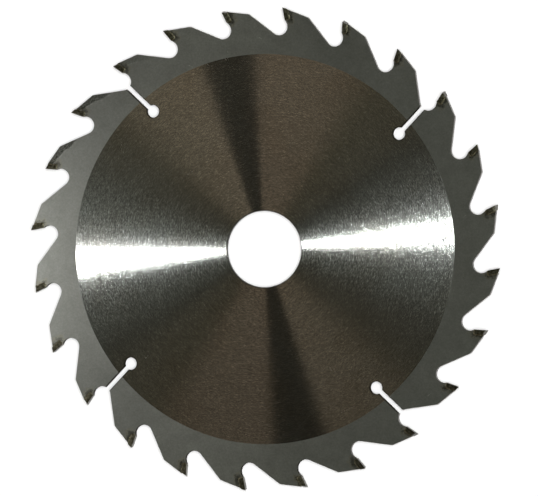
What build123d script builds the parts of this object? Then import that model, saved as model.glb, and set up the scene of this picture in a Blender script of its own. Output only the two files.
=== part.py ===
from build123d import *
import math
import os

# Circular saw blade, carbide tipped, 190 mm across the tips with a 30 mm bore.
# It lies flat: the blade's axis is +Z, the origin is on the axis at half the
# thickness of the steel, and the teeth point counter-clockwise seen from +Z.
# All sizes in millimetres.

# ---- driving dimensions -------------------------------------------------
TEETH = 24                  # teeth round the rim
TIP_R = 95.0                # radius over the high corners of the tips
PLATE_T = 2.0               # thickness of the steel
KERF = 3.0                  # width of a tip at its cutting edge
BORE_R = 15.0               # radius of the arbor hole
BORE_CHAMFER = 0.3          # lead-in on both ends of the arbor hole
FIRST_TIP_DEG = 10.5        # angle of the first tip from +X

HOOK_DEG = 15.0             # rake face leans back from the radius
TIP_LENGTH = 5.0            # tip along its rake face
TIP_THICK = 1.8             # tip square to its rake face
TOP_RELIEF_DEG = 13.0       # top of the tip falls away behind the edge
TOP_BEVEL_DEG = 12.0        # top slopes sideways, left and right in turn
RADIAL_RELIEF_DEG = 1.5     # each side of the tip narrows towards the axis
BACK_RELIEF_DEG = 3.0       # each side of the tip narrows behind its face
TIP_CORNER_R = 0.45         # rounded inner corner of the tip
BRAZE_T = 0.12              # braze layer between tip and seat

LAND_DROP = 0.35            # shoulder of the steel below the tip's heel
CORNER_X = 10.55            # obtuse corner at the end of the shoulder, in
CORNER_Y = 91.72            # the tooth's own frame (x behind, y outwards)
CORNER_FILLET = 0.9
GULLET_R = 3.45             # rounded bottom of each gullet
GULLET_X = -0.90            # centre of that round, in the tooth's own frame
GULLET_Y = 87.40

SLOTS = 4                   # expansion slots, cut in from every sixth gullet
SLOT_TOOTH = 2              # the first slot runs from the gullet of this tooth
SLOT_WIDTH = 2.1
SLOT_HOLE_R = 2.5           # round end of the slot
SLOT_HOLE_AT = 70.5         # radius of the circle that the round ends lie on
SLOT_HOLE_BACK_DEG = 0.74   # round end sits this far behind the tip's radius
SLOT_LEAN_DEG = 7.0         # slot leans forwards from the radius
SLOT_LENGTH = 16.0          # from the round end's centre into the gullet

PITCH = 360.0 / TEETH
os.makedirs("parts", exist_ok=True)


def tip_angle(k):
    return FIRST_TIP_DEG + PITCH * k


def tooth_plane(k, z=0.0):
    """Plane with +Y outwards through the k-th tip and +X behind it."""
    a = math.radians(tip_angle(k))
    return Plane(origin=(0, 0, z), x_dir=(math.sin(a), -math.cos(a), 0), z_dir=(0, 0, 1))


def world(k, x, y):
    """Point of the k-th tooth's frame, in the blade's own XY."""
    a = math.radians(tip_angle(k))
    return (x * math.sin(a) + y * math.cos(a), -x * math.cos(a) + y * math.sin(a))


def meet(p, d, q, e):
    """Where the line through p along d meets the line through q along e."""
    det = d[0] * -e[1] + e[0] * d[1]
    t = ((q[0] - p[0]) * -e[1] + e[0] * (q[1] - p[1])) / det
    return (p[0] + d[0] * t, p[1] + d[1] * t)


# ---- one tooth, worked out in its own frame ------------------------------
g = math.radians(HOOK_DEG)
r = math.radians(TOP_RELIEF_DEG)
INWARD = (math.sin(g), -math.cos(g))        # along the rake face, towards the axis
BEHIND = (math.cos(g), math.sin(g))         # square to the rake face, into the tooth
TOP = (math.cos(r), -math.sin(r))           # along the top of the tip


def off(p, d, t):
    return (p[0] + d[0] * t, p[1] + d[1] * t)


TIP = (0.0, TIP_R)
HEEL = meet(TIP, TOP, off(TIP, BEHIND, TIP_THICK), INWARD)
TOE = off(TIP, INWARD, TIP_LENGTH)
TOE_BACK = off(TOE, BEHIND, TIP_THICK)

# seat in the steel, one braze layer away from the tip
SEAT_LINE = off(TIP, BEHIND, TIP_THICK + BRAZE_T)
SEAT_FLOOR = off(TOE, INWARD, BRAZE_T)
SEAT_CORNER = meet(SEAT_LINE, INWARD, SEAT_FLOOR, BEHIND)
SEAT_CORNER_R = TIP_CORNER_R + BRAZE_T



def round_corner(p, radius):
    """Start, middle and end of the round at p, between a wall and a floor."""
    start = off(p, INWARD, -radius)
    centre = off(start, BEHIND, -radius)
    d = (INWARD[0] + BEHIND[0], INWARD[1] + BEHIND[1])
    return start, off(centre, d, radius / math.sqrt(2)), off(p, BEHIND, -radius)


TIP_ROUND = round_corner(TOE_BACK, TIP_CORNER_R)
SEAT_ROUND = round_corner(SEAT_CORNER, SEAT_CORNER_R)

# shoulder: from the seat back to the obtuse corner
LAND_TOP = meet(off(HEEL, INWARD, LAND_DROP), BEHIND, SEAT_LINE, INWARD)
CORNER = (CORNER_X, CORNER_Y)

# gullet ahead of the tooth: a round that meets the seat floor's lip, and on
# its far side runs off along the back of the tooth in front
LIP = off(SEAT_FLOOR, BEHIND, 0.0)
c = (GULLET_X, GULLET_Y)
dx, dy = LIP[0] - c[0], LIP[1] - c[1]
dist = math.hypot(dx, dy)
# point where a straight line from the lip touches the round
half = math.acos(GULLET_R / dist)
base = math.atan2(dy, dx)
TOUCH_FACE = (c[0] + GULLET_R * math.cos(base - half), c[1] + GULLET_R * math.sin(base - half))
# corner of the tooth in front, seen in this tooth's frame
pa = math.radians(PITCH)
FRONT_CORNER = (
    CORNER[0] * math.cos(pa) - CORNER[1] * math.sin(pa),
    CORNER[0] * math.sin(pa) + CORNER[1] * math.cos(pa),
)
dx, dy = FRONT_CORNER[0] - c[0], FRONT_CORNER[1] - c[1]
dist = math.hypot(dx, dy)
half = math.acos(GULLET_R / dist)
base = math.atan2(dy, dx)
TOUCH_BACK = (c[0] + GULLET_R * math.cos(base + half), c[1] + GULLET_R * math.sin(base + half))
bottom = math.radians(-70)
GULLET_MID = (c[0] + GULLET_R * math.cos(bottom), c[1] + GULLET_R * math.sin(bottom))

# ---- the steel -----------------------------------------------------------
with BuildPart() as blade_plate:
    with BuildSketch(Plane.XY.offset(-PLATE_T / 2)):
        with BuildLine():
            for k in range(TEETH):
                # back of the tooth in front, down into the gullet
                Line(world(k + 1, *CORNER), world(k, *TOUCH_BACK))
                # round gullet
                ThreePointArc(world(k, *TOUCH_BACK), world(k, *GULLET_MID), world(k, *TOUCH_FACE))
                # up to the lip of the seat and along its floor
                Polyline(world(k, *TOUCH_FACE), world(k, *LIP), world(k, *SEAT_ROUND[2]))
                # rounded inner corner of the seat
                ThreePointArc(*[world(k, *p) for p in reversed(SEAT_ROUND)])
                # up the seat's wall and back along the shoulder
                Polyline(world(k, *SEAT_ROUND[0]), world(k, *LAND_TOP), world(k, *CORNER))
        make_face()
    extrude(amount=PLATE_T)
    # obtuse corner behind every shoulder
    corner_r = math.hypot(*CORNER)
    fillet(
        blade_plate.edges()
        .filter_by(Axis.Z)
        .filter_by(lambda e: abs(math.hypot(e.center().X, e.center().Y) - corner_r) < 1e-3),
        radius=CORNER_FILLET,
    )
    # expansion slots: a saw cut that ends in a drilled hole
    with BuildSketch(Plane.XY.offset(-PLATE_T / 2)):
        with PolarLocations(
            SLOT_HOLE_AT, SLOTS, start_angle=tip_angle(SLOT_TOOTH) - SLOT_HOLE_BACK_DEG
        ):
            Circle(SLOT_HOLE_R)
            Rectangle(
                SLOT_LENGTH, SLOT_WIDTH, rotation=SLOT_LEAN_DEG, align=(Align.MIN, Align.CENTER)
            )
    extrude(amount=PLATE_T, mode=Mode.SUBTRACT)
    # arbor hole with a small lead-in on each side
    Hole(radius=BORE_R)
    chamfer(
        blade_plate.edges()
        .filter_by(GeomType.CIRCLE)
        .filter_by(lambda e: abs(e.radius - BORE_R) < 1e-3),
        length=BORE_CHAMFER,
    )
blade_plate.part.label = "blade_plate"
export_step(blade_plate.part, "parts/blade_plate.step")

# ---- the carbide tips ----------------------------------------------------
for k in range(TEETH):
    name = f"carbide_tip_{k + 1:02d}"
    side = 1 if k % 2 else -1           # the face that carries the high corner
    frame = tooth_plane(k)
    with BuildPart() as carbide_tip:
        with BuildSketch(tooth_plane(k, -KERF / 2)):
            with BuildLine():
                Polyline(TIP_ROUND[2], TOE, TIP, HEEL, TIP_ROUND[0])
                ThreePointArc(*TIP_ROUND)
            make_face()
        extrude(amount=KERF)
        # sideways bevel of the top, falling from the high corner
        bevel = math.radians(TOP_BEVEL_DEG)
        normal = Vector(
            math.sin(r) * math.cos(bevel), math.cos(r) * math.cos(bevel), -side * math.sin(bevel)
        )
        high = frame.from_local_coords((TIP[0], TIP[1], side * KERF / 2))
        out = frame.from_local_coords(normal) - frame.origin
        split(bisect_by=Plane(origin=high, z_dir=out), keep=Keep.BOTTOM)
        # both sides narrow towards the axis and behind the face
        for s in (1, -1):
            edge = frame.from_local_coords((TIP[0], TIP[1], s * KERF / 2))
            lean = Vector(
                math.tan(math.radians(BACK_RELIEF_DEG)),
                -math.tan(math.radians(RADIAL_RELIEF_DEG)),
                s,
            )
            out = frame.from_local_coords(lean) - frame.origin
            split(bisect_by=Plane(origin=edge, z_dir=out), keep=Keep.BOTTOM)
    carbide_tip.part.label = name
    export_step(carbide_tip.part, f"parts/{name}.step")

# ---- the braze that holds each tip in its seat ---------------------------
for k in range(TEETH):
    name = f"braze_joint_{k + 1:02d}"
    heel_line = off(TIP, BEHIND, TIP_THICK)
    behind_top = meet(LAND_TOP, BEHIND, heel_line, INWARD)
    with BuildPart() as braze_joint:
        with BuildSketch(tooth_plane(k, -PLATE_T / 2)):
            with BuildLine():
                Polyline(TIP_ROUND[0], behind_top, LAND_TOP, SEAT_ROUND[0])
                ThreePointArc(*SEAT_ROUND)
                Polyline(SEAT_ROUND[2], LIP, TOE, TIP_ROUND[2])
                ThreePointArc(*reversed(TIP_ROUND))
            make_face()
        extrude(amount=PLATE_T)
    braze_joint.part.label = name
    export_step(braze_joint.part, f"parts/{name}.step")

print("tip", TIP, "heel", HEEL, "toe", TOE, "land", LAND_TOP, "lip", LIP)
print("touch face", TOUCH_FACE, "touch back", TOUCH_BACK, "front corner", FRONT_CORNER)
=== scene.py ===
import math
import random

import bmesh
import bpy
import numpy as np
from mathutils import Matrix, Vector
from mathutils.geometry import delaunay_2d_cdt

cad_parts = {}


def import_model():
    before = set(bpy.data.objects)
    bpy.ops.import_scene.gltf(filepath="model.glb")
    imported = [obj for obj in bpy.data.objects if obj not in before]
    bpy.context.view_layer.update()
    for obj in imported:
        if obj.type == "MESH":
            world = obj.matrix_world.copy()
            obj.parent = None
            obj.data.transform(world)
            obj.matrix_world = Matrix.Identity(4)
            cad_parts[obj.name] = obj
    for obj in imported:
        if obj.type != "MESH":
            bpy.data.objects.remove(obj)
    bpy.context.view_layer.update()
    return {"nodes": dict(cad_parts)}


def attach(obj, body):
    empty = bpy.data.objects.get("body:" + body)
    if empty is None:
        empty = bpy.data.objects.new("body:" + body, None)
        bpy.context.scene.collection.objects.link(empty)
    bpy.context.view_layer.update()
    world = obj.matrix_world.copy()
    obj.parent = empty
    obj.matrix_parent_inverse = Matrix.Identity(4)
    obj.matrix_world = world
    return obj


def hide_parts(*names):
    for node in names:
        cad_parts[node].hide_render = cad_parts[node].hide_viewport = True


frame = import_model()
NODES = frame["nodes"]
MM = 0.001

# =========================================================================
# Shape facts of the blade, in millimetres (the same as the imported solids)
# =========================================================================
TEETH = 24
TIP_R = 95.0
PLATE_T = 2.0
KERF = 3.0
BORE_R = 15.0
BORE_CHAMFER = 0.3
FIRST_TIP_DEG = 10.5
HOOK_DEG, TIP_LENGTH, TIP_THICK, TOP_RELIEF_DEG = 15.0, 5.0, 1.8, 13.0
TIP_CORNER_R, BRAZE_T, LAND_DROP = 0.45, 0.12, 0.35
CORNER, CORNER_FILLET = (10.55, 91.72), 0.9
GULLET_R, GULLET = 3.45, (-0.90, 87.40)
SLOT_TEETH = (2, 8, 14, 20)
SLOT_WIDTH, SLOT_HOLE_R, SLOT_HOLE_AT = 2.1, 2.5, 70.5
SLOT_HOLE_BACK_DEG, SLOT_LEAN_DEG = 0.74, 7.0
RING_R = 76.5               # edge of the ground centre
EDGE = 0.07                 # broken edge all round the steel

PITCH = 360.0 / TEETH


def world(k, x, y):
    """Point of the k-th tooth's frame (x behind the tip, y outwards) in the blade's XY."""
    a = math.radians(FIRST_TIP_DEG + PITCH * k)
    return (x * math.sin(a) + y * math.cos(a), -x * math.cos(a) + y * math.sin(a))


def off(p, d, t):
    return (p[0] + d[0] * t, p[1] + d[1] * t)


def meet(p, d, q, e):
    det = d[0] * -e[1] + e[0] * d[1]
    t = ((q[0] - p[0]) * -e[1] + e[0] * (q[1] - p[1])) / det
    return off(p, d, t)


def arc(c, r, a0, a1, n):
    """n + 1 points on a round, from angle a0 to a1 in radians."""
    return [(c[0] + r * math.cos(a0 + (a1 - a0) * i / n), c[1] + r * math.sin(a0 + (a1 - a0) * i / n)) for i in range(n + 1)]


def angle_of(c, p):
    return math.atan2(p[1] - c[1], p[0] - c[0])


g, rr = math.radians(HOOK_DEG), math.radians(TOP_RELIEF_DEG)
INWARD, BEHIND, TOP = (math.sin(g), -math.cos(g)), (math.cos(g), math.sin(g)), (math.cos(rr), -math.sin(rr))
TIP = (0.0, TIP_R)
HEEL = meet(TIP, TOP, off(TIP, BEHIND, TIP_THICK), INWARD)
TOE = off(TIP, INWARD, TIP_LENGTH)
TOE_BACK = off(TOE, BEHIND, TIP_THICK)
SEAT_LINE = off(TIP, BEHIND, TIP_THICK + BRAZE_T)
LIP = off(TOE, INWARD, BRAZE_T)
SEAT_CORNER = meet(SEAT_LINE, INWARD, LIP, BEHIND)
SEAT_R = TIP_CORNER_R + BRAZE_T
LAND_TOP = meet(off(HEEL, INWARD, LAND_DROP), BEHIND, SEAT_LINE, INWARD)


def touch(c, r, p, sign):
    """Where a line from p touches the round about c."""
    d = math.hypot(p[0] - c[0], p[1] - c[1])
    a = angle_of(c, p) + sign * math.acos(r / d)
    return (c[0] + r * math.cos(a), c[1] + r * math.sin(a))


pa = math.radians(PITCH)
FRONT_CORNER = (
    CORNER[0] * math.cos(pa) - CORNER[1] * math.sin(pa),
    CORNER[0] * math.sin(pa) + CORNER[1] * math.cos(pa),
)
TOUCH_FACE = touch(GULLET, GULLET_R, LIP, -1)
TOUCH_BACK = touch(GULLET, GULLET_R, FRONT_CORNER, 1)


def run(p, q, step=0.8):
    """Points from p up to, but not at, q."""
    n = max(1, int(round(math.hypot(q[0] - p[0], q[1] - p[1]) / step)))
    return [(p[0] + (q[0] - p[0]) * i / n, p[1] + (q[1] - p[1]) * i / n) for i in range(n)]


def rounded_corner(p, q, s, r, n=5):
    """The corner at q between p and s, rounded by r."""
    u = Vector((p[0] - q[0], p[1] - q[1])).normalized()
    v = Vector((s[0] - q[0], s[1] - q[1])).normalized()
    half = math.acos(max(-1.0, min(1.0, u.dot(v)))) / 2
    t = r / math.tan(half)
    a, b = Vector(q) + u * t, Vector(q) + v * t
    c = Vector(q) + (u + v).normalized() * (r / math.sin(half))
    a0, a1 = angle_of(c, a), angle_of(c, b)
    while a1 - a0 > math.pi:
        a1 -= 2 * math.pi
    while a1 - a0 < -math.pi:
        a1 += 2 * math.pi
    return arc(c, r, a0, a1, n)


def tooth_outline(k):
    """From the round corner of the tooth in front, through the gullet and the seat, to this tooth's corner."""
    prev_back = TOUCH_BACK_BEHIND
    pts = []
    a0, a1 = angle_of(GULLET, TOUCH_BACK), angle_of(GULLET, TOUCH_FACE)
    while a1 < a0:
        a1 += 2 * math.pi
    start = rounded_corner(FRONT_LAND, FRONT_CORNER, TOUCH_BACK, CORNER_FILLET)[-1]
    pts += run(start, TOUCH_BACK)
    if k in SLOT_TEETH:
        b = math.radians(SLOT_HOLE_BACK_DEG)
        hole = (SLOT_HOLE_AT * math.sin(b), SLOT_HOLE_AT * math.cos(b))
        lean = math.radians(SLOT_LEAN_DEG - SLOT_HOLE_BACK_DEG)
        d, side = (-math.sin(lean), math.cos(lean)), (math.cos(lean), math.sin(lean))
        ends, h = [], SLOT_WIDTH / 2
        for s in (-1, 1):
            base = off(hole, side, s * h)
            fx, fy = base[0] - GULLET[0], base[1] - GULLET[1]
            bq = fx * d[0] + fy * d[1]
            cq = fx * fx + fy * fy - GULLET_R ** 2
            ends.append(off(base, d, -bq - math.sqrt(bq * bq - cq)))
        g0, g1 = (angle_of(GULLET, e) % (2 * math.pi) for e in ends)
        pts += arc(GULLET, GULLET_R, a0 % (2 * math.pi), g0, 4)[:-1]
        up = math.sqrt(SLOT_HOLE_R ** 2 - h * h)
        left, right = off(off(hole, side, -h), d, up), off(off(hole, side, h), d, up)
        pts += run(ends[0], left)
        h0, h1 = angle_of(hole, left), angle_of(hole, right)
        while h1 < h0:
            h1 += 2 * math.pi
        pts += arc(hole, SLOT_HOLE_R, h0, h1, 44)[:-1]
        pts += run(right, ends[1])
        pts += arc(GULLET, GULLET_R, g1, a1 if a1 > g1 else a1 + 2 * math.pi, 20)[:-1]
    else:
        pts += arc(GULLET, GULLET_R, a0, a1, 32)[:-1]
    pts += run(TOUCH_FACE, LIP, 0.4)
    s0 = off(SEAT_CORNER, INWARD, -SEAT_R)          # on the wall
    s2 = off(SEAT_CORNER, BEHIND, -SEAT_R)          # on the floor
    c = off(s0, BEHIND, -SEAT_R)
    f0, f1 = angle_of(c, s2), angle_of(c, s0)
    while f1 < f0:
        f1 += 2 * math.pi
    pts += run(LIP, s2, 0.4)
    pts += arc(c, SEAT_R, f0, f1, 7)[:-1]
    pts += run(s0, LAND_TOP)
    corner = rounded_corner(LAND_TOP, CORNER, prev_back, CORNER_FILLET)
    pts += run(LAND_TOP, corner[0])
    pts += corner[:-1]
    return [world(k, *p) for p in pts]


FRONT_LAND = (
    LAND_TOP[0] * math.cos(pa) - LAND_TOP[1] * math.sin(pa),
    LAND_TOP[0] * math.sin(pa) + LAND_TOP[1] * math.cos(pa),
)
TOUCH_BACK_BEHIND = (
    TOUCH_BACK[0] * math.cos(pa) + TOUCH_BACK[1] * math.sin(pa),
    -TOUCH_BACK[0] * math.sin(pa) + TOUCH_BACK[1] * math.cos(pa),
)


# =========================================================================
# Mesh helpers
# =========================================================================
def miter(loop):
    """Outward direction at each point of a counter-clockwise loop, as long as a unit offset needs."""
    p = np.asarray(loop, float)
    a = p - np.roll(p, 1, 0)
    b = np.roll(p, -1, 0) - p
    na = np.c_[a[:, 1], -a[:, 0]] / np.linalg.norm(a, axis=1)[:, None]
    nb = np.c_[b[:, 1], -b[:, 0]] / np.linalg.norm(b, axis=1)[:, None]
    m = na + nb
    return m * (2 / np.maximum((m * m).sum(1), 0.35))[:, None]


def inside(loop, pts):
    """Which points lie inside the loop."""
    p = np.asarray(loop, float)
    q = np.roll(p, -1, 0)
    out = np.zeros(len(pts), bool)
    for i in range(0, len(pts), 500):
        x, y = pts[i:i + 500, 0, None], pts[i:i + 500, 1, None]
        cross = (p[None, :, 1] > y) != (q[None, :, 1] > y)
        with np.errstate(divide="ignore", invalid="ignore"):
            at = p[None, :, 0] + (y - p[None, :, 1]) / (q - p)[None, :, 1] * (q - p)[None, :, 0]
        out[i:i + 500] = (cross & (x < at)).sum(1) % 2 == 1
    return out


def boundary_loops(tris):
    """Ordered loops of the edges that only one triangle has, in the triangles' own direction."""
    count = {}
    for t in tris:
        for i in range(3):
            e = (t[i], t[(i + 1) % 3])
            count[e] = 1
    nxt = {a: b for a, b in count if (b, a) not in count}
    loops = []
    while nxt:
        start = next(iter(nxt))
        loop, v = [], start
        while v in nxt:
            loop.append(v)
            v = nxt.pop(v)
        loops.append(loop)
    return loops


def new_piece(name, verts, faces, mats, face_mat=None, smooth=None):
    me = bpy.data.meshes.new(name)
    me.from_pydata([tuple(v) for v in verts], [], faces)
    for m in mats:
        me.materials.append(m)
    if face_mat is not None:
        me.polygons.foreach_set("material_index", np.asarray(face_mat, np.int32))
    if smooth is not None:
        me.polygons.foreach_set("use_smooth", np.asarray(smooth, bool))
    me.update()
    ob = bpy.data.objects.new(name, me)
    bpy.context.scene.collection.objects.link(ob)
    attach(ob, "root")
    return ob


# =========================================================================
# Node helper
# =========================================================================
class Graph:
    def __init__(self, name, world=None):
        self.owner = world or bpy.data.materials.new(name)
        self.owner.use_nodes = True
        self.t = self.owner.node_tree
        self.t.nodes.clear()

    def put(self, socket, value):
        if isinstance(value, bpy.types.NodeSocket):
            self.t.links.new(value, socket)
        elif value is not None:
            socket.default_value = value

    def node(self, kind, ins=(), out=0, **props):
        n = self.t.nodes.new(kind)
        for k, v in props.items():
            setattr(n, k, v)
        for k, v in (ins.items() if isinstance(ins, dict) else enumerate(ins)):
            self.put(n.inputs[k], v)
        return n if out is None else n.outputs[out]

    def m(self, op, a, b=None, c=None, clamp=False):
        return self.node("ShaderNodeMath", [a, b, c], operation=op, use_clamp=clamp)

    def v(self, op, a, b=None):
        return self.node("ShaderNodeVectorMath", [a, b], operation=op)

    def vscale(self, a, s):
        return self.node("ShaderNodeVectorMath", {0: a, "Scale": s}, operation="SCALE")

    def length(self, a):
        return self.node("ShaderNodeVectorMath", [a], "Value", operation="LENGTH")

    def dot(self, a, b):
        return self.node("ShaderNodeVectorMath", [a, b], "Value", operation="DOT_PRODUCT")

    def xyz(self, x, y, z):
        return self.node("ShaderNodeCombineXYZ", [x, y, z])

    def split(self, v):
        n = self.node("ShaderNodeSeparateXYZ", [v], None)
        return n.outputs[0], n.outputs[1], n.outputs[2]

    def noise(self, vec, scale=1.0, detail=2.0, rough=0.5, distort=0.0, out=0):
        return self.node("ShaderNodeTexNoise", {"Vector": vec, "Scale": scale, "Detail": detail, "Roughness": rough, "Distortion": distort}, out)

    def step(self, x, lo, hi, a=0.0, b=1.0, smooth=True):
        """a below lo and b above hi, with an even or smooth change between."""
        return self.node("ShaderNodeMapRange", {"Value": x, "From Min": lo, "From Max": hi, "To Min": a, "To Max": b}, interpolation_type="SMOOTHSTEP" if smooth else "LINEAR")

    def mix(self, f, a, b, blend="MIX"):
        n = self.t.nodes.new("ShaderNodeMix")
        n.data_type, n.blend_type, n.clamp_factor = "RGBA", blend, True
        col = lambda c: (*c, 1.0) if isinstance(c, tuple) and len(c) == 3 else c
        self.put(n.inputs[0], f)
        self.put(n.inputs[6], col(a))
        self.put(n.inputs[7], col(b))
        return n.outputs[2]

    def mixf(self, f, a, b):
        n = self.t.nodes.new("ShaderNodeMix")
        n.data_type, n.clamp_factor = "FLOAT", True
        for i, v in ((0, f), (2, a), (3, b)):
            self.put(n.inputs[i], v)
        return n.outputs[0]

    def ramp(self, f, stops, interp="LINEAR"):
        n = self.t.nodes.new("ShaderNodeValToRGB")
        n.color_ramp.interpolation = interp
        e = n.color_ramp.elements
        while len(e) < len(stops):
            e.new(0.5)
        for el, (pos, col) in zip(e, stops):
            el.position, el.color = pos, (*col, 1.0)
        self.put(n.inputs[0], f)
        return n.outputs[0]

    def tinted(self, col, f):
        """Colour times a number."""
        return self.vscale(col, f)

    def bump(self, height, strength, distance, normal=None):
        return self.node("ShaderNodeBump", {"Height": height, "Strength": strength, "Distance": distance, "Normal": normal})

    def shader(self, color, rough, normal=None, metallic=1.0, aniso=0.0, tangent=None, spec=0.5):
        n = self.node("ShaderNodeBsdfPrincipled", {"Base Color": color, "Roughness": rough, "Metallic": metallic, "Anisotropic": aniso, "Specular IOR Level": spec}, None)
        if normal is not None:
            self.t.links.new(normal, n.inputs["Normal"])
        if tangent is not None:
            self.t.links.new(tangent, n.inputs["Tangent"])
        out = self.t.nodes.new("ShaderNodeOutputMaterial")
        self.t.links.new(n.outputs[0], out.inputs[0])
        return self.owner


def coords(G):
    """Position in millimetres, its parts, and the radius."""
    p = G.vscale(G.node("ShaderNodeTexCoord", out="Object"), 1000.0)
    x, y, z = G.split(p)
    r = G.m("SQRT", G.m("ADD", G.m("MULTIPLY", x, x), G.m("MULTIPLY", y, y)))
    return p, x, y, z, r


def streaks(G, x, y, r, width, length, detail=2.0, seed=0.0):
    """Noise drawn out along circles: streaks of that width and length in millimetres."""
    v = G.xyz(G.m("MULTIPLY_ADD", x, 1 / length, seed), G.m("MULTIPLY", y, 1 / length), G.m("MULTIPLY", r, 1 / width))
    return G.noise(v, 1.0, detail, 0.6)


def tooth_coords(G, x, y, r):
    """The tooth's own frame folded over the pitch: x behind the tip, y outwards, and the tooth's number."""
    a = G.m("DEGREES", G.m("ARCTAN2", y, x))
    turn = G.m("DIVIDE", G.m("SUBTRACT", a, FIRST_TIP_DEG - 10.0), PITCH)
    k = G.m("FLOOR", turn)
    rel = G.m("RADIANS", G.m("SUBTRACT", G.m("MULTIPLY", G.m("SUBTRACT", turn, k), PITCH), 10.0))
    tx = G.m("MULTIPLY", G.m("MULTIPLY", r, -1.0), G.m("SINE", rel))
    ty = G.m("MULTIPLY", r, G.m("COSINE", rel))
    return tx, ty, G.m("MODULO", G.m("ADD", k, 48.0), 24.0)


def from_line(G, p, a, b):
    """Distance in millimetres from the line between two points of the face."""
    ba = (b[0] - a[0], b[1] - a[1], 0.0)
    pa_ = G.v("SUBTRACT", p, (a[0], a[1], 0.0))
    h = G.m("DIVIDE", G.dot(pa_, ba), ba[0] ** 2 + ba[1] ** 2, clamp=True)
    return G.length(G.v("SUBTRACT", pa_, G.vscale(ba, h)))


# =========================================================================
# Materials
# =========================================================================
def scratch_lines(G, flat, scratches):
    lines = None
    for a, b, w, strength in scratches:
        d = from_line(G, flat, a, b)
        one = G.step(d, 0.05 * w, 0.17 * w, strength, 0.0)
        lines = one if lines is None else G.m("MAXIMUM", lines, one)
    return G.m("MULTIPLY", lines, G.step(G.noise(flat, 1.3, 2.0), 0.38, 0.55))


def burnt(G, tp, k, p):
    """1 beside the cut of the expansion slots, where the laser left its oxide."""
    b, lean = math.radians(SLOT_HOLE_BACK_DEG), math.radians(SLOT_LEAN_DEG)
    hole = (SLOT_HOLE_AT * math.sin(b), SLOT_HOLE_AT * math.cos(b))
    end = (hole[0] - 15.0 * math.sin(lean - b), hole[1] + 15.0 * math.cos(lean - b))
    line = G.m("SUBTRACT", from_line(G, tp, hole, end), SLOT_WIDTH / 2)
    ring = G.m("SUBTRACT", G.length(G.v("SUBTRACT", tp, (hole[0], hole[1], 0.0))), SLOT_HOLE_R)
    d = G.m("MINIMUM", line, ring)
    d = G.m("ADD", d, G.m("MULTIPLY", G.m("SUBTRACT", G.noise(p, 2.2, 3.0, 0.6), 0.5), 0.30))
    cut = G.m("LESS_THAN", G.m("ABSOLUTE", G.m("SUBTRACT", G.m("MODULO", G.m("ADD", k, 4.0), 6.0), 0.0)), 0.5)
    return G.m("MULTIPLY", G.step(d, 0.10, 0.42, 1.0, 0.0), cut)


def ground_steel():
    G = Graph("steel_ground")
    p, x, y, z, r = coords(G)
    flat = G.xyz(x, y, 0.0)
    tx, ty, k = tooth_coords(G, x, y, r)
    wide = streaks(G, x, y, r, 0.55, 3.6, 2.0, 3.1)
    fine = streaks(G, x, y, r, 0.18, 1.2, 3.0, 11.7)
    hair = streaks(G, x, y, r, 0.045, 1.2, 1.0, 27.3)
    cloud = G.noise(flat, 0.035, 3.0, 0.55)
    stain = G.noise(G.v("ADD", flat, (40.0, 15.0, 0.0)), 0.11, 4.0, 0.6)
    # colour: bare steel, a little browner and darker in soft patches
    col = G.mix(G.step(cloud, 0.40, 0.66), (0.55, 0.548, 0.53), (0.51, 0.495, 0.465))
    stray = G.m("SUBTRACT", streaks(G, x, y, r, 0.30, 1.7, 3.0, 51.0), 0.5)
    tone = G.m("MULTIPLY_ADD", wide, 0.40, 0.80)
    tone = G.m("MULTIPLY", tone, G.m("MULTIPLY_ADD", G.m("ABSOLUTE", stray), 3.4, 0.85))
    tone = G.m("MULTIPLY", tone, G.m("MULTIPLY_ADD", fine, 1.10, 0.45))
    # painted sheen: the grinding streaks get more contrast, lighter and darker, in two broad sectors along x, where
    # the reflected light lies across the ground centre
    sheen_sectors = G.step(G.m("DIVIDE", G.m("ABSOLUTE", y), r), 0.28, 0.54, 1.0, 0.0)
    tone = G.m("POWER", tone, G.m("ADD", sheen_sectors, 1.0))
    tone = G.m("MULTIPLY", tone, G.step(stain, 0.58, 0.78, 1.0, 0.86))
    # painted light and shade: the ground centre is lighter towards the top and the left, darker towards the bottom
    # and the right
    tone = G.m("MULTIPLY", tone, G.step(y, -68.0, 68.0, 0.78, 1.22, False))
    tone = G.m("MULTIPLY", tone, G.step(x, -68.0, 68.0, 1.09, 0.86, False))
    # scratches left by handling
    lines = scratch_lines(G, flat, SCRATCHES)
    col = G.tinted(G.mix(lines, col, (0.80, 0.78, 0.74)), tone)
    col = G.mix(G.m("MULTIPLY", burnt(G, G.xyz(tx, ty, 0.0), k, p), 0.75), col, (0.07, 0.06, 0.05))
    rough = G.m("MULTIPLY_ADD", wide, 0.04, 0.14)
    rough = G.m("MAXIMUM", rough, G.m("MULTIPLY", lines, 0.55))
    # grinding lines run round the bore: the surface tips to and fro along the radius
    hair = G.m("MULTIPLY", G.m("SUBTRACT", G.m("MAXIMUM", G.m("MINIMUM", hair, 0.74), 0.26), 0.5), 1.75)
    tilt = G.m("ADD", hair,
               G.m("ADD", G.m("MULTIPLY", G.m("SUBTRACT", fine, 0.5), 0.20), G.m("MULTIPLY", G.m("SUBTRACT", wide, 0.5), 0.08)))
    out = G.v("NORMALIZE", flat)
    n = G.node("ShaderNodeNewGeometry", out="Normal")
    n = G.v("NORMALIZE", G.v("ADD", n, G.vscale(out, tilt)))
    # and they are never quite round
    side = G.m("MULTIPLY", stray, G.m("MULTIPLY_ADD", G.m("ABSOLUTE", stray), 2.2, 0.16))
    side = G.m("MAXIMUM", G.m("MINIMUM", side, 0.12), -0.12)
    # about a centre a little above the bore's
    up = G.m("SUBTRACT", y, 2.2)
    t = G.xyz(G.m("SUBTRACT", x, G.m("MULTIPLY", up, side)), G.m("ADD", up, G.m("MULTIPLY", x, side)), 0.0)
    return G.shader(col, rough, n, 1.0, 1.0, G.v("NORMALIZE", t))


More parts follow.
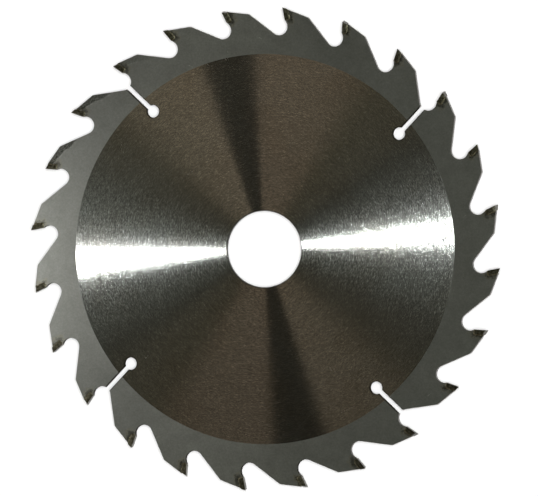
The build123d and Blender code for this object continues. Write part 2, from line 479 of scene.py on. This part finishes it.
def blasted_steel():
    G = Graph("steel_blasted")
    p, x, y, z, r = coords(G)
    tx, ty, k = tooth_coords(G, x, y, r)
    tp = G.xyz(tx, ty, 0.0)
    grain = G.noise(p, 4.5, 3.0, 0.65)
    mottle = G.noise(p, 0.30, 4.0, 0.6)
    cloud = G.noise(p, 0.05, 2.0)
    own = G.node("ShaderNodeTexWhiteNoise", {"W": k}, "Value", noise_dimensions="1D")
    col = G.mix(G.step(cloud, 0.35, 0.65), (0.277, 0.281, 0.258), (0.256, 0.260, 0.238))
    speck = G.noise(p, 1.5, 2.0, 0.6)
    tone = G.m("MULTIPLY", G.m("MULTIPLY_ADD", grain, 0.24, 0.88), G.m("MULTIPLY_ADD", mottle, 0.20, 0.90))
    tone = G.m("MULTIPLY", tone, G.m("MULTIPLY_ADD", speck, 0.50, 0.75))
    # painted light: the blasted band is made lighter along a broad stripe about x = -20 mm, which crosses the band
    # near the top and the bottom
    tone = G.m("MULTIPLY", tone, G.step(G.m("ABSOLUTE", G.m("ADD", x, 20.0)), 8.0, 48.0, 1.22, 1.0))
    # colours left by the heat of brazing round the seat, ragged at their edge
    ragged = G.noise(p, 0.75, 4.0, 0.65)
    seat = from_line(G, tp, SEAT_TOP_MM, SEAT_LOW_MM)
    heat = G.m("ADD", seat, G.m("MULTIPLY", G.m("SUBTRACT", ragged, 0.5), 5.0))
    reach = G.m("MULTIPLY_ADD", own, 1.0, 1.1)
    near = G.step(G.m("DIVIDE", heat, reach), 0.35, 1.0, 1.0, 0.0)
    col = G.mix(G.m("MULTIPLY", near, G.m("MULTIPLY_ADD", speck, 0.9, 0.15)), col, (0.105, 0.100, 0.072))
    flecks = G.m("MULTIPLY", G.step(G.noise(p, 1.6, 3.0, 0.6), 0.50, 0.60), G.step(seat, 0.4, 2.2, 1.0, 0.0))
    col = G.mix(G.m("MULTIPLY", flecks, 0.7), col, (0.055, 0.050, 0.030))
    straw = G.m("MULTIPLY", G.step(G.m("ABSOLUTE", G.m("SUBTRACT", heat, reach)), 0.0, 0.7, 1.0, 0.0), 0.22)
    col = G.mix(straw, col, (0.38, 0.33, 0.20))
    # darker along the land and shoulder of the teeth on one side of the blade, with a paler speckled line along its
    # inner edge
    a = G.m("DEGREES", G.m("ARCTAN2", y, x))
    there = G.m("MULTIPLY", G.step(a, 112.0, 148.0), G.step(a, 156.0, 170.0, 1.0, 0.0))
    land = from_line(G, tp, (2.6, 94.1), CORNER)
    shoulder = from_line(G, tp, CORNER, (18.0, 83.6))
    jag = G.m("MULTIPLY", G.m("SUBTRACT", ragged, 0.5), 1.0)
    land = G.m("SUBTRACT", G.m("ADD", land, jag), G.step(tx, 1.5, 9.0, 1.5, 2.5, False))
    shoulder = G.m("SUBTRACT", G.m("ADD", shoulder, jag), G.step(tx, 10.5, 15.5, 2.4, 0.35, False))
    land_dark_band = G.m("MULTIPLY", G.step(G.m("MINIMUM", land, shoulder), -0.35, 0.10, 1.0, 0.0), there)
    salt = G.noise(p, 2.3, 2.0, 0.6)
    col = G.mix(G.m("MULTIPLY", land_dark_band, G.step(salt, 0.42, 0.60, 1.0, 0.42)), col, (0.046, 0.048, 0.038))
    light = G.m("MULTIPLY", G.m("MULTIPLY", G.step(G.m("ABSOLUTE", G.m("SUBTRACT", G.m("MINIMUM", land, shoulder), 0.25)), 0.0, 0.35, 1.0, 0.0), there), G.step(speck, 0.5, 0.62))
    col = G.mix(G.m("MULTIPLY", light, 0.5), col, (0.46, 0.46, 0.42))
    col = G.mix(G.m("MULTIPLY", scratch_lines(G, G.xyz(x, y, 0.0), BAND_SCRATCHES), 0.8), col, (0.70, 0.69, 0.64))
    col = G.tinted(col, tone)
    col = G.mix(G.m("MULTIPLY", burnt(G, tp, k, p), 0.75), col, (0.05, 0.046, 0.038))
    rough = G.m("ADD", G.m("MULTIPLY_ADD", mottle, 0.05, 0.32), G.m("MULTIPLY", near, -0.06))
    n = G.bump(grain, 0.20, 0.00008)
    n = G.bump(mottle, 0.10, 0.00010, n)
    return G.shader(col, rough, n)


def edge_steel():
    """Sawn and ground edges: lines across the thickness, some scale left in the gullets."""
    G = Graph("steel_edge")
    p, x, y, z, r = coords(G)
    a = G.m("MULTIPLY", G.m("ARCTAN2", y, x), 90.0)
    lines = G.noise(G.xyz(G.m("MULTIPLY", a, 2.2), G.m("MULTIPLY", r, 2.6), G.m("MULTIPLY", z, 0.35)), 1.0, 3.0, 0.6)
    blotch = G.noise(p, 0.5, 3.0)
    col = G.mix(G.step(blotch, 0.35, 0.7), (0.225, 0.213, 0.204), (0.150, 0.142, 0.132))
    # the gullets are blacker on one side of the blade
    side = G.m("DIVIDE", G.m("ADD", x, y), G.m("MULTIPLY", r, -1.414))
    scale = G.m("MULTIPLY", G.step(side, 0.20, 0.60), G.step(r, 88.5, 91.5, 0.95, 0.0))
    col = G.mix(scale, col, (0.020, 0.018, 0.014))
    col = G.tinted(col, G.m("MULTIPLY_ADD", lines, 0.6, 0.7))
    rough = G.m("ADD", G.m("MULTIPLY_ADD", lines, 0.2, 0.38), G.m("MULTIPLY", scale, 0.25))
    return G.shader(col, rough, G.bump(lines, 0.5, 0.00008), G.m("SUBTRACT", 1.0, scale), spec=0.0)


def slot_steel():
    """Walls of the laser-cut slots and their round ends: near-black, partly the laser's oxide and partly painted
    shade for the shade inside the narrow slots, with striations across the thickness.
    """
    G = Graph("steel_slot")
    p, x, y, z, r = coords(G)
    cut = G.noise(G.xyz(G.m("MULTIPLY", x, 3.4), G.m("MULTIPLY", y, 3.4), G.m("MULTIPLY", z, 0.5)), 1.0, 3.0, 0.6)
    blotch = G.noise(p, 0.7, 3.0)
    # near-black colour: partly oxide, partly painted shade inside the slots
    col = G.mix(G.step(blotch, 0.36, 0.68), (0.016, 0.0145, 0.011), (0.032, 0.028, 0.021))
    col = G.tinted(col, G.m("MULTIPLY_ADD", cut, 0.9, 0.55))
    return G.shader(col, G.m("MULTIPLY_ADD", cut, 0.2, 0.60), G.bump(cut, 0.6, 0.00008), 0.0, spec=0.0)


def bore_steel():
    """Reamed bore and its lead-in: fine lines round the hole."""
    G = Graph("steel_bore")
    p, x, y, z, r = coords(G)
    lines = G.noise(G.xyz(G.m("MULTIPLY", x, 0.12), G.m("MULTIPLY", y, 0.12), G.m("MULTIPLY", z, 9.0)), 1.0, 3.0, 0.6)
    blotch = G.noise(p, 0.4, 3.0)
    col = G.mix(G.step(blotch, 0.4, 0.7), (0.115, 0.113, 0.104), (0.075, 0.072, 0.060))
    col = G.mix(G.step(G.m("ABSOLUTE", z), 0.62, 0.74, 0.0, 0.75), col, (0.020, 0.019, 0.016))
    col = G.tinted(col, G.m("MULTIPLY_ADD", lines, 0.5, 0.75))
    return G.shader(col, G.m("MULTIPLY_ADD", lines, 0.15, 0.30), G.bump(lines, 0.5, 0.00005))


def carbide():
    """Carbide: the sides are dark with what soldering left on them, the face, top and end are ground grey."""
    G = Graph("carbide")
    p, x, y, z, r = coords(G)
    tx, ty, k = tooth_coords(G, x, y, r)
    own = G.node("ShaderNodeTexWhiteNoise", {"W": G.m("ADD", k, 0.5)}, "Value", noise_dimensions="1D")
    nz = G.split(G.node("ShaderNodeNewGeometry", out="True Normal"))[2]
    side = G.step(G.m("ABSOLUTE", nz), 0.75, 0.93)
    # grinding lines run across the tip
    along = G.m("ADD", G.m("MULTIPLY", tx, 0.26), G.m("MULTIPLY", ty, -0.966))
    lines = G.noise(G.xyz(G.m("MULTIPLY", along, 9.0), G.m("MULTIPLY", tx, 0.5), G.m("MULTIPLY", z, 0.7)), 1.0, 3.0, 0.65)
    blotch = G.noise(p, 0.9, 4.0, 0.6)
    specks = G.noise(p, 2.6, 3.0, 0.6)
    dark = G.mix(G.step(blotch, 0.40, 0.62), (0.105, 0.098, 0.070), (0.040, 0.036, 0.022))
    dark = G.mix(G.step(specks, 0.60, 0.70, 0.0, 0.5), dark, (0.26, 0.24, 0.17))
    bright = G.mix(G.step(blotch, 0.40, 0.66), (0.125, 0.120, 0.105), (0.060, 0.055, 0.042))
    col = G.tinted(G.mix(side, bright, dark), G.m("MULTIPLY", G.m("MULTIPLY_ADD", lines, 0.6, 0.7), G.m("MULTIPLY_ADD", own, 0.35, 0.82)))
    rough = G.m("ADD", G.m("MULTIPLY_ADD", lines, 0.20, 0.20), G.m("MULTIPLY", side, 0.10))
    n = G.bump(lines, 0.4, 0.00004)
    n = G.bump(blotch, 0.2, 0.00012, n)
    return G.shader(col, rough, n, G.m("MULTIPLY_ADD", side, 0.70, 0.30), spec=0.1)


def braze():
    G = Graph("braze_alloy_look")
    p, x, y, z, r = coords(G)
    lumps = G.noise(p, 2.4, 3.0, 0.6)
    tarnish = G.noise(p, 0.8, 3.0)
    flux = G.noise(G.v("ADD", p, (7.0, 3.0, 0.0)), 1.7, 4.0, 0.65)
    col = G.mix(G.step(tarnish, 0.36, 0.62), (0.33, 0.30, 0.205), (0.15, 0.130, 0.080))
    col = G.mix(G.step(flux, 0.50, 0.60, 0.0, 0.8), col, (0.045, 0.040, 0.026))
    col = G.tinted(col, G.m("MULTIPLY_ADD", lumps, 0.6, 0.7))
    return G.shader(col, G.m("MULTIPLY_ADD", lumps, 0.3, 0.33), G.bump(lumps, 0.6, 0.00015))


SEAT_TOP_MM = (SEAT_LINE[0] + 0.2, 94.0)
SEAT_LOW_MM = SEAT_CORNER
SCRATCHES = [
    ((-31.0, 29.2), (-28.9, 30.6), 1.0, 0.9),
    ((-19.2, 24.2), (-18.4, 24.7), 1.0, 0.9),
    ((-57.8, 42.0), (-57.9, 38.0), 0.7, 0.5),
    ((18.0, -30.4), (19.8, -31.6), 1.0, 0.9),
    ((26.5, -46.2), (27.2, -47.6), 0.9, 0.8),
    ((28.2, -46.8), (28.6, -48.0), 0.7, 0.7),
    ((31.0, -64.0), (36.4, -61.6), 1.0, 0.7),
    ((-25.2, -17.8), (-22.0, -16.4), 5.0, 0.30),
    ((-38.6, -14.5), (-37.7, -14.0), 1.0, 1.0),
    ((-48.0, -42.9), (-47.1, -41.9), 1.2, 0.9),
    ((29.4, 34.6), (30.6, 36.0), 0.8, 0.6),
    ((-16.2, 75.2), (-15.0, 73.9), 1.0, 0.9),
    ((-15.2, 75.8), (-14.5, 74.2), 0.8, 0.7),
    ((-23.2, 72.9), (-22.4, 72.1), 0.8, 0.7),
]
BAND_SCRATCHES = [
    ((65.8, -57.3), (67.1, -56.2), 0.9, 0.8),
    ((-30.4, 72.2), (-29.1, 71.5), 1.0, 0.9),
    ((-14.9, 77.6), (-14.2, 76.4), 0.8, 0.7),
    ((80.2, 12.4), (81.0, 13.2), 0.6, 0.6),
    ((-2.0, 83.0), (-1.1, 82.4), 0.7, 0.7),
]

M_GROUND, M_BLAST, M_EDGE, M_BORE, M_SLOT = ground_steel(), blasted_steel(), edge_steel(), bore_steel(), slot_steel()
M_CARBIDE, M_BRAZE = carbide(), braze()


# =========================================================================
# The steel body
# =========================================================================
def steel_body():
    outline = []
    for k in range(TEETH - 1, -1, -1):
        outline += tooth_outline(k)
    outline = outline[::-1]
    p = np.array(outline)
    area = 0.5 * (p[:, 0] * np.roll(p[:, 1], -1) - np.roll(p[:, 0], -1) * p[:, 1]).sum()
    if area < 0:
        p = p[::-1]
    keep = np.linalg.norm(p - np.roll(p, 1, 0), axis=1) > 1e-5
    p = p[keep]
    outer = p - miter(p) * EDGE
    seg = 180
    bore = np.array([((BORE_R + BORE_CHAMFER) * math.cos(2 * math.pi * i / seg), (BORE_R + BORE_CHAMFER) * math.sin(2 * math.pi * i / seg)) for i in range(seg)])
    verts, edges = [tuple(v) for v in outer], [(i, (i + 1) % len(outer)) for i in range(len(outer))]

    def add(loop):
        base = len(verts)
        verts.extend(tuple(v) for v in loop)
        edges.extend((base + i, base + (i + 1) % len(loop)) for i in range(len(loop)))

    add(bore)
    GROOVE = ((RING_R - 0.08, 0.0), (RING_R, -0.010), (RING_R + 0.06, -0.014))
    for rad, n in ((22.0, 120), (32.0, 160), (45.0, 200), (60.0, 240), *((g_[0], 480) for g_ in GROOVE)):
        add([(rad * math.cos(2 * math.pi * (i + 0.5) / n), rad * math.sin(2 * math.pi * (i + 0.5) / n)) for i in range(n)])
    found = delaunay_2d_cdt([Vector(v) for v in verts], edges, [], 0, 1e-7)
    co = np.array([tuple(v) for v in found[0]])
    tris = np.array([t for t in found[2]])
    mid = co[tris].mean(1)
    ok = inside(outer, mid) & (np.hypot(*mid.T) > (BORE_R + BORE_CHAMFER) * math.cos(math.pi / seg))
    tris = tris[ok]
    a, b, c = co[tris[:, 0]], co[tris[:, 1]], co[tris[:, 2]]
    turn = (b[:, 0] - a[:, 0]) * (c[:, 1] - a[:, 1]) - (b[:, 1] - a[:, 1]) * (c[:, 0] - a[:, 0])
    tris[turn < 0] = tris[turn < 0][:, ::-1]
    used = np.unique(tris)
    remap = -np.ones(len(co), int)
    remap[used] = np.arange(len(used))
    co, tris = co[used], remap[tris]
    rad = np.hypot(co[:, 0], co[:, 1])
    top = PLATE_T / 2 + np.interp(rad, [g_[0] for g_ in GROOVE], [g_[1] for g_ in GROOVE])
    # the blasted band lies a hair lower than the ground centre
    V, F, MAT, SM = [], [], [], []
    n = len(co)
    V += [(co[i, 0], co[i, 1], top[i]) for i in range(n)]
    V += [(co[i, 0], co[i, 1], -top[i]) for i in range(n)]
    tri_r = np.hypot(*co[tris].mean(1).T)
    for t, tr in zip(tris, tri_r):
        m = 0 if tr < RING_R else 1
        F.append(tuple(int(i) for i in t)); MAT.append(m); SM.append(False)
        F.append(tuple(int(i) + n for i in t[::-1])); MAT.append(m); SM.append(False)
    for loop in boundary_loops([tuple(int(i) for i in t) for t in tris]):
        pts = co[loop]
        is_bore = np.hypot(*pts.T).max() < 20
        in_slot = (np.hypot(*pts.T) < 83.75) & (not is_bore)
        # steps down the wall: how far out from the face's edge, and how far below the face
        if is_bore:
            rows = [(BORE_CHAMFER * 0.97, BORE_CHAMFER * 0.97), (BORE_CHAMFER, BORE_CHAMFER + 0.02)]
            mat = 3
        else:
            rows = [(EDGE * 0.62, EDGE * 0.12), (EDGE * 0.90, EDGE * 0.42), (EDGE, EDGE)]
            mat = 2
        m = miter(pts)
        rings = [list(loop)]
        zt = top[loop]
        levels = [(o, zt - d) for o, d in rows] + [(rows[-1][0], 0.0 * zt)] + [(o, -(zt - d)) for o, d in rows[::-1]]
        for o, zz in levels:
            base = len(V)
            V += [(pts[i, 0] + m[i, 0] * o, pts[i, 1] + m[i, 1] * o, zz[i]) for i in range(len(loop))]
            rings.append([base + i for i in range(len(loop))])
        rings.append([i + n for i in loop])
        for up, down in zip(rings, rings[1:]):
            for i in range(len(loop)):
                j = (i + 1) % len(loop)
                F.append((up[j], up[i], down[i], down[j]))
                MAT.append(4 if in_slot[i] and in_slot[j] else mat)
                SM.append(True)
    V = [(x * MM, y * MM, z * MM) for x, y, z in V]
    ob = new_piece("steel_body", V, F, [M_GROUND, M_BLAST, M_EDGE, M_BORE, M_SLOT], MAT, SM)
    ob.data.set_sharp_from_angle(angle=math.radians(28))
    ob.data.polygons.foreach_set("use_smooth", np.asarray(SM, bool))
    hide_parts("blade_plate")
    return ob


steel = steel_body()


# =========================================================================
# The carbide tips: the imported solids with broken, slightly chipped edges
# =========================================================================
def tip_piece(k):
    node = NODES[f"carbide_tip_{k + 1:02d}"]
    rng = random.Random(700 + k)
    bm = bmesh.new()
    bm.from_mesh(node.data)
    bmesh.ops.scale(bm, vec=(1000, 1000, 1000), verts=bm.verts)
    bmesh.ops.remove_doubles(bm, verts=bm.verts, dist=0.001)
    bmesh.ops.dissolve_limit(bm, angle_limit=math.radians(2), verts=bm.verts, edges=bm.edges)
    sharp = [e for e in bm.edges if len(e.link_faces) == 2 and e.calc_face_angle(0) > math.radians(20)]
    bmesh.ops.bevel(bm, geom=sharp, offset=0.045, offset_type="OFFSET", segments=2, profile=0.6, affect="EDGES", clamp_overlap=True)
    bmesh.ops.triangulate(bm, faces=[f for f in bm.faces if len(f.verts) > 4])
    # a few small chips along the cutting edges
    a = math.radians(FIRST_TIP_DEG + PITCH * k)
    tip = Vector((TIP_R * math.cos(a), TIP_R * math.sin(a), 0))
    bmesh.ops.subdivide_edges(bm, edges=[e for e in bm.edges if e.calc_length() > 0.5], cuts=3, use_grid_fill=True)
    bmesh.ops.triangulate(bm, faces=bm.faces[:])
    bm.normal_update()
    centre = sum((v.co for v in bm.verts), Vector()) / len(bm.verts)
    for v in bm.verts:
        angle = max((e.calc_face_angle(0) for e in v.link_edges if len(e.link_faces) == 2), default=0)
        if angle > math.radians(15) and rng.random() < 0.20:
            v.co += (centre - v.co).normalized() * rng.uniform(0.01, 0.07)
    bmesh.ops.scale(bm, vec=(MM, MM, MM), verts=bm.verts)
    me = bpy.data.meshes.new(f"tip_{k + 1:02d}")
    bm.to_mesh(me)
    bm.free()
    me.materials.clear()
    me.materials.append(M_CARBIDE)
    me.polygons.foreach_set("use_smooth", np.ones(len(me.polygons), bool))
    me.polygons.foreach_set("material_index", np.zeros(len(me.polygons), np.int32))
    me.set_sharp_from_angle(angle=math.radians(30))
    ob = bpy.data.objects.new(me.name, me)
    bpy.context.scene.collection.objects.link(ob)
    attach(ob, "root")
    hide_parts(node.name)
    return ob


tips = [tip_piece(k) for k in range(TEETH)]


# =========================================================================
# Braze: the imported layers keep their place, with a small bead on each face
# =========================================================================
def bead(k):
    rng = random.Random(300 + k)
    # the line that the bead follows: down the back of the tip, round its corner, out to the toe
    s0 = off(SEAT_CORNER, INWARD, -SEAT_R)
    s2 = off(SEAT_CORNER, BEHIND, -SEAT_R)
    c = off(s0, BEHIND, -SEAT_R)
    f0, f1 = angle_of(c, s0), angle_of(c, s2)
    while f1 > f0:
        f1 -= 2 * math.pi
    line = run(off(LAND_TOP, INWARD, 0.10), s0, 0.22) + arc(c, SEAT_R, f0, f1, 6)[:-1] + run(s2, off(LIP, BEHIND, 0.12), 0.22) + [off(LIP, BEHIND, 0.12)]
    pts = np.array(line)
    d = np.gradient(pts, axis=0)
    d /= np.linalg.norm(d, axis=1)[:, None]
    out = np.c_[-d[:, 1], d[:, 0]]          # away from the tip, over the steel
    if np.dot(out[0], BEHIND) < 0:
        out = -out
    V, F = [], []
    for face in (1, -1):
        base = len(V)
        w0 = rng.uniform(0.20, 0.34)
        h0 = rng.uniform(0.12, 0.20)
        phase = rng.uniform(0, 6.28)
        rows = []
        for i in range(len(pts)):
            u = i / (len(pts) - 1)
            end = min(1.0, 6 * u + 0.25, 6 * (1 - u) + 0.25)
            w = (w0 + 0.08 * math.sin(phase + 9 * u) + 0.05 * math.sin(phase * 2 + 23 * u)) * end
            h = (h0 + 0.04 * math.sin(phase + 5 + 13 * u)) * (0.5 + 0.5 * end)
            prof = [(w, -0.04), (w, 0.004), (0.55 * w, 0.012 + 0.22 * h), (0.12 * w - 0.05, 0.012 + 0.62 * h), (-0.10, 0.012 + h), (-0.16, h * 0.9), (-0.16, -0.04)]
            rows.append([(pts[i, 0] + out[i, 0] * a, pts[i, 1] + out[i, 1] * a, (PLATE_T / 2 - 0.012 + b)) for a, b in prof])
        m = len(rows[0])
        for row in rows:
            for x, y, z in row:
                wx, wy = world(k, x, y)
                V.append((wx * MM, wy * MM, face * z * MM))
        flip = face < 0
        quads = []
        for i in range(len(rows) - 1):
            for j in range(m):
                a_, b_ = base + i * m + j, base + i * m + (j + 1) % m
                quads.append((a_, b_, b_ + m, a_ + m))
        quads.append(tuple(base + j for j in range(m))[::-1])
        quads.append(tuple(base + (len(rows) - 1) * m + j for j in range(m)))
        F += [q[::-1] if flip else q for q in quads]
    ob = new_piece(f"braze_bead_{k + 1:02d}", V, F, [M_BRAZE], None, np.ones(len(F), bool))
    bm = bmesh.new()
    bm.from_mesh(ob.data)
    bmesh.ops.recalc_face_normals(bm, faces=bm.faces[:])
    bm.to_mesh(ob.data)
    bm.free()
    ob.data.set_sharp_from_angle(angle=math.radians(50))
    return ob


beads = [bead(k) for k in range(TEETH)]
for name, node in NODES.items():
    if name.startswith("braze_joint"):
        node.data.materials.clear()
        node.data.materials.append(M_BRAZE)
    elif name.startswith("carbide_tip"):
        node.data.materials.clear()
        node.data.materials.append(M_CARBIDE)
    elif name == "blade_plate":
        node.data.materials.clear()
        node.data.materials.append(M_BLAST)


# =========================================================================
# Floor, light and camera
# =========================================================================
def floor():
    G = Graph("floor_pale")
    p = G.node("ShaderNodeTexCoord", out="Object")
    soft = G.noise(p, 30.0, 3.0)
    col = G.mix(soft, (0.895, 0.897, 0.905), (0.91, 0.912, 0.92))
    mat = G.shader(col, 0.9, None, 0.0, spec=0.0)
    s, z = 14.0, -KERF / 2 * MM
    me = bpy.data.meshes.new("floor")
    me.from_pydata([(-s, -s, z), (s, -s, z), (s, s, z), (-s, s, z)], [], [(0, 1, 2, 3)])
    me.materials.append(mat)
    ob = bpy.data.objects.new("floor", me)
    bpy.context.scene.collection.objects.link(ob)


floor()

TILT = 14.0                 # the camera stands this far to the right of the blade's axis


def studio():
    w = bpy.data.worlds.new("studio")
    bpy.context.scene.world = w
    G = Graph("studio", w)
    d = G.node("ShaderNodeTexCoord", out="Generated")
    turned = G.node("ShaderNodeVectorRotate", {"Vector": d, "Angle": math.radians(TILT)}, rotation_type="Y_AXIS")
    z = G.split(turned)[2]
    # each radial line of the round grinding reflects one of these sectors of the room
    dx, dy, dz = G.split(d)
    t = G.m("FRACT", G.m("DIVIDE", G.m("ARCTAN2", dy, G.m("ADD", dx, math.sin(math.radians(TILT)))), math.pi))
    sides = [
        (0, (0.35, 0.38, 0.36)),
        (2, (0.38, 0.41, 0.39)),
        (12, (0.235, 0.252, 0.233)),
        (16, (0.160, 0.171, 0.154)),
        (22, (0.124, 0.133, 0.114)),
        (33, (0.058, 0.060, 0.046)),
        (40, (0.092, 0.086, 0.060)),
        (54, (0.090, 0.080, 0.050)),
        (64, (0.178, 0.142, 0.097)),
        (92.0, (0.205, 0.161, 0.112)),
        (93.5, (0.016, 0.015, 0.010)),
        (102, (0.022, 0.021, 0.014)),
        (108.5, (0.016, 0.015, 0.010)),
        (110.0, (0.228, 0.187, 0.130)),
        (132, (0.178, 0.150, 0.103)),
        (143, (0.086, 0.080, 0.055)),
        (158, (0.092, 0.094, 0.076)),
        (169, (0.180, 0.195, 0.172)),
        (175, (0.30, 0.325, 0.30)),
    ]
    stops = [(a / 180, c) for a, c in sides] + [(1.0, sides[0][1])]
    walls = G.ramp(t, stops)
    high = G.step(z, 0.945, 0.992)
    sky = G.mix(high, walls, (0.035, 0.033, 0.026))
    low = G.step(dz, 0.10, 0.42, 1.0, 0.0)
    sky = G.mix(low, sky, (0.62, 0.62, 0.60))
    bg = G.node("ShaderNodeBackground", {"Color": sky, "Strength": 1.0})
    out = G.t.nodes.new("ShaderNodeOutputWorld")
    G.t.links.new(bg, out.inputs[0])


studio()


def area(name, place, aim, size_x, size_y, power, color=(1, 1, 1), deg_line=0.0):
    """A lamp whose long side lies so that its reflection on the ground centre stays on one radial line."""
    li = bpy.data.lights.new(name, "AREA")
    li.shape, li.size, li.size_y, li.energy, li.color = "RECTANGLE", size_x, size_y, power, color
    ob = bpy.data.objects.new(name, li)
    bpy.context.scene.collection.objects.link(ob)
    ob.location = place
    back = (Vector(place) - Vector(aim)).normalized()
    line = math.radians(deg_line)
    long = Vector((-math.sin(line), math.cos(line), 0)).cross(back).normalized()
    ob.rotation_mode = "QUATERNION"
    ob.rotation_quaternion = Matrix((long.cross(back), long, back)).transposed().to_quaternion()
    ob.visible_camera = False
    ob.visible_diffuse = False
    return ob


def around(deg_round, deg_off, dist):
    """A place seen from the blade: so far off the mirrored sight line, in that direction round it."""
    a, b = math.radians(deg_round), math.radians(deg_off)
    v = Vector((math.sin(b) * math.cos(a), math.sin(b) * math.sin(a), math.cos(b)))
    v.rotate(Matrix.Rotation(-math.radians(TILT), 3, "Y"))
    return v * dist


# the long window whose reflection crosses the ground centre
area("window", around(5.4, 40, 2.4), (0, 0, 0), 0.185, 1.20, 14.6, (0.91, 1.0, 0.965), 5.1)
# a low lamp close by on the left, which brightens that side of the blasted band
area("side_lamp", (-0.2354, -0.0097, 0.263), (-0.05, 0, 0), 0.016, 0.087, 0.145, deg_line=3.0)

sun = bpy.data.lights.new("overhead", "SUN")
sun.energy, sun.angle = 3.3, math.radians(40)
top_light = bpy.data.objects.new("overhead", sun)
bpy.context.scene.collection.objects.link(top_light)
top_light.rotation_euler = (0, math.radians(TILT), 0)
top_light.visible_glossy = False

cam = bpy.data.cameras.new("camera")
cam_ob = bpy.data.objects.new("camera", cam)
bpy.context.scene.collection.objects.link(cam_ob)
bpy.context.scene.camera = cam_ob
DIST = 3.2
v = Vector((math.sin(math.radians(TILT)), 0, math.cos(math.radians(TILT))))
cam_ob.location = v * DIST
cam_ob.rotation_mode = "QUATERNION"
cam_ob.rotation_quaternion = (Matrix((Vector((0, 1, 0)).cross(v), (0, 1, 0), v)).transposed()).to_quaternion()
cam.sensor_width = 36.0
FRAME_MM = 211.0            # width of the picture at the blade
cam.lens = 36.0 * DIST / (FRAME_MM * MM)
cam.clip_start, cam.clip_end = 0.05, 100.0
cam.shift_x, cam.shift_y = 0.008, 0.002

view = bpy.context.scene.view_settings
view.view_transform, view.look, view.exposure, view.gamma = "Standard", "None", 0.0, 1.0
